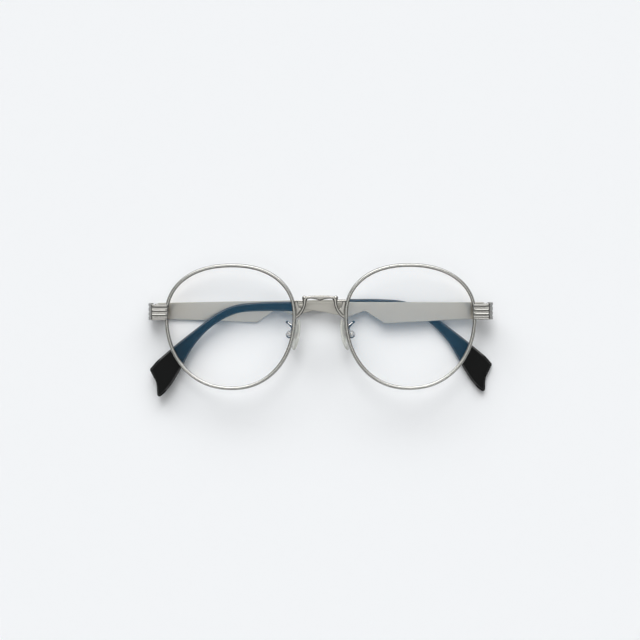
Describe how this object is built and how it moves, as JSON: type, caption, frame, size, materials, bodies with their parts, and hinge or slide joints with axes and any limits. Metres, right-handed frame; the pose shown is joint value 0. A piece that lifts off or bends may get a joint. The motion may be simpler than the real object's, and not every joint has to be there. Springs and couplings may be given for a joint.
{
  "type": "round eyeglasses",
  "caption": "Round metal eyeglasses with clear lenses, adjustable nose pads and folding temples with bent acetate tips.",
  "frame": {"origin": "on the surface that the folded glasses lie on, under the middle of their outline", "axes": "+X to the wearer's left, +Y to the brow, +Z out of the front of the lenses"},
  "size_m": [0.1389, 0.0534, 0.0159],
  "materials": {
    "satin_metal": "warm grey satin metal with bright bevelled edges",
    "brushed_metal": "flat temple plate, finely brushed along its length",
    "screw_metal": "small bright screws and pad stems",
    "clear_lens": "clear lens with a faint blue reflection over dark things",
    "black_acetate": "polished black acetate",
    "clear_silicone": "clear soft nose pad, slightly cloudy"
  },
  "bodies": {
    "front": {"bridge": "satin_metal", "left_rim": "satin_metal", "right_rim": "satin_metal", "left_lens": "clear_lens", "right_lens": "clear_lens", "left_endpiece": "satin_metal", "right_endpiece": "satin_metal", "left_rim_lock_upper": "satin_metal", "left_rim_lock_lower": "satin_metal", "right_rim_lock_upper": "satin_metal", "right_rim_lock_lower": "satin_metal", "left_rim_lock_screw": "screw_metal", "right_rim_lock_screw": "screw_metal", "left_front_hinge": "satin_metal", "right_front_hinge": "satin_metal", "left_hinge_screw": "screw_metal", "right_hinge_screw": "screw_metal", "left_pad_arm": "satin_metal", "right_pad_arm": "satin_metal", "left_pad_screw": "screw_metal", "right_pad_screw": "screw_metal"},
    "left_temple": {"left_temple": "brushed_metal", "left_temple_hinge": "satin_metal", "left_temple_tip": "black_acetate"},
    "right_temple": {"right_temple": "brushed_metal", "right_temple_hinge": "satin_metal", "right_temple_tip": "black_acetate"},
    "left_pad": {"left_nose_pad": "clear_silicone", "left_pad_stem": "screw_metal"},
    "right_pad": {"right_nose_pad": "clear_silicone", "right_pad_stem": "screw_metal"}
  },
  "joints": [
    {"name": "left_temple_fold", "type": "hinge", "parent": "front", "child": "left_temple", "pos_m": [0.06618, 0.0074, 0.00615], "axis": [0, -1, 0], "range_deg": [0, 93.4]},
    {"name": "right_temple_fold", "type": "hinge", "parent": "front", "child": "right_temple", "pos_m": [-0.06618, 0.0074, 0.00295], "axis": [0, 1, 0], "range_deg": [0, 90.6]},
    {"name": "left_pad_rock", "type": "hinge", "parent": "front", "child": "left_pad", "pos_m": [0.01232, -0.0018, 0.00815], "axis": [-0.0242, 0, 0.9997], "range_deg": [-6, 6]},
    {"name": "right_pad_rock", "type": "hinge", "parent": "front", "child": "right_pad", "pos_m": [-0.01248, -0.0018, 0.00755], "axis": [-0.0242, 0, 0.9997], "range_deg": [-6, 6]}
  ]
}
